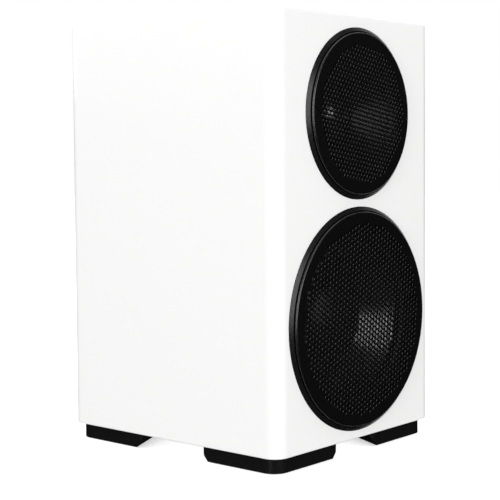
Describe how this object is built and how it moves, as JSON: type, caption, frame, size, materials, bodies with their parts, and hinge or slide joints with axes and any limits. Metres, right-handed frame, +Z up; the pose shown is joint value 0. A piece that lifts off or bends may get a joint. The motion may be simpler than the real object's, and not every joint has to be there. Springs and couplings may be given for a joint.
{
  "type": "bookshelf speaker",
  "caption": "Compact two-way bookshelf speaker: gloss white cabinet with rounded vertical edges, round black perforated grilles over woofer and tweeter, and low black corner feet.",
  "frame": {"origin": "centre of the bounding box's base, on the surface that the feet stand on", "axes": "+Z up, -Y out of the front baffle, +X to the right seen from the front"},
  "size_m": [0.2, 0.23, 0.3349],
  "materials": {
    "cabinet_lacquer": "gloss white lacquer over fibreboard",
    "bare_board": "raw fibreboard",
    "wadding": "matt felted fibre",
    "gasket_foam": "matt closed-cell foam",
    "cast_frame": "black powder coat",
    "roll_rubber": "satin",
    "cone_pulp": "coated black pulp, satin",
    "cap_coating": "coated, semi-gloss",
    "spider_cloth": "resin-dipped weave",
    "coil_copper": "enamelled copper wire",
    "plated_steel": "zinc plated",
    "ferrite": "matt sintered ferrite",
    "ring_black": "satin black",
    "grille_black": "satin black powder coat",
    "guide_black": "fine satin moulding",
    "dome_coating": "coated fabric, semi-gloss",
    "screw_black": "black oxide",
    "magnet_nickel": "nickel plated",
    "port_black": "satin moulding",
    "cup_black": "fine grained moulding",
    "gold_plate": "gold plated, polished",
    "knob_red": "gloss red",
    "knob_black": "gloss black",
    "board_green": "solder mask over glass-fibre board",
    "spacer_nylon": "natural nylon",
    "film_wrap": "amber film wrap",
    "resistor_body": "chalky cement",
    "wire_jacket": "satin cable jacket",
    "foot_black": "satin moulding",
    "pad_rubber": "matt rubber"
  },
  "bodies": {
    "cabinet": {"front_baffle": "cabinet_lacquer", "back_panel": "cabinet_lacquer", "left_side_panel": "cabinet_lacquer", "right_side_panel": "cabinet_lacquer", "top_panel": "cabinet_lacquer", "bottom_panel": "cabinet_lacquer", "window_brace": "bare_board", "acoustic_lining": "wadding", "woofer_gasket": "gasket_foam", "woofer_basket": "cast_frame", "woofer_surround": "roll_rubber", "woofer_spider": "spider_cloth", "woofer_top_plate": "plated_steel", "woofer_magnet": "ferrite", "woofer_yoke": "plated_steel", "woofer_tinsel_leads": "coil_copper", "woofer_trim_ring": "ring_black", "tweeter_gasket": "gasket_foam", "tweeter_waveguide": "guide_black", "tweeter_surround": "roll_rubber", "tweeter_top_plate": "plated_steel", "tweeter_magnet": "ferrite", "tweeter_yoke": "plated_steel", "tweeter_rear_chamber": "cup_black", "tweeter_trim_ring": "ring_black", "driver_screws": "screw_black", "grille_magnets": "magnet_nickel", "port_tube": "port_black", "terminal_cup": "cup_black", "terminal_gasket": "gasket_foam", "terminal_screws": "screw_black", "positive_post": "gold_plate", "negative_post": "gold_plate", "post_nuts": "gold_plate", "crossover_board": "board_green", "crossover_spacers": "spacer_nylon", "crossover_screws": "plated_steel", "crossover_inductors": "coil_copper", "crossover_capacitors": "film_wrap", "crossover_resistors": "resistor_body", "internal_wires": "wire_jacket", "front_left_foot": "foot_black", "front_right_foot": "foot_black", "rear_left_foot": "foot_black", "rear_right_foot": "foot_black", "foot_pads": "pad_rubber", "foot_screws": "plated_steel"},
    "woofer_cone_unit": {"woofer_cone": "cone_pulp", "woofer_dust_cap": "cap_coating", "woofer_voice_coil": "coil_copper"},
    "tweeter_dome_unit": {"tweeter_dome": "dome_coating", "tweeter_voice_coil": "coil_copper"},
    "woofer_grille_disc": {"woofer_grille": "grille_black"},
    "tweeter_grille_disc": {"tweeter_grille": "grille_black"},
    "positive_washer_ring": {"positive_clamp_washer": "gold_plate"},
    "negative_washer_ring": {"negative_clamp_washer": "gold_plate"},
    "positive_knob_cap": {"positive_knob": "knob_red"},
    "negative_knob_cap": {"negative_knob": "knob_black"}
  },
  "joints": [
    {"name": "woofer_stroke", "type": "slide", "parent": "cabinet", "child": "woofer_cone_unit", "axis": [0, -1, 0], "range_m": [-0.005, 0.005], "stiffness_N_per_m": 1000, "deforming": ["woofer_surround", "woofer_spider", "woofer_tinsel_leads"]},
    {"name": "tweeter_stroke", "type": "slide", "parent": "cabinet", "child": "tweeter_dome_unit", "axis": [0, -1, 0], "range_m": [-0.0005, 0.0005], "stiffness_N_per_m": 200, "deforming": ["tweeter_surround"]},
    {"name": "woofer_grille_pull", "type": "slide", "parent": "cabinet", "child": "woofer_grille_disc", "axis": [0, -1, 0], "range_m": [0, 0.03]},
    {"name": "tweeter_grille_pull", "type": "slide", "parent": "cabinet", "child": "tweeter_grille_disc", "axis": [0, -1, 0], "range_m": [0, 0.03]},
    {"name": "positive_knob_turn", "type": "hinge", "parent": "cabinet", "child": "positive_washer_ring", "pos_m": [0.00953, 0.1085, 0.0923], "axis": [0, 1, 0], "range_deg": [0, 1801]},
    {"name": "positive_knob_travel", "type": "slide", "parent": "positive_washer_ring", "child": "positive_knob_cap", "axis": [0, 1, 0], "range_m": [0, 0.005]},
    {"name": "negative_knob_turn", "type": "hinge", "parent": "cabinet", "child": "negative_washer_ring", "pos_m": [-0.00953, 0.1085, 0.0923], "axis": [0, 1, 0], "range_deg": [0, 1801]},
    {"name": "negative_knob_travel", "type": "slide", "parent": "negative_washer_ring", "child": "negative_knob_cap", "axis": [0, 1, 0], "range_m": [0, 0.005]}
  ],
  "couplings": [
    {"joint": "positive_knob_turn", "follows": "positive_knob_travel", "rad_per_m": 6283.2},
    {"joint": "negative_knob_turn", "follows": "negative_knob_travel", "rad_per_m": 6283.2}
  ]
}
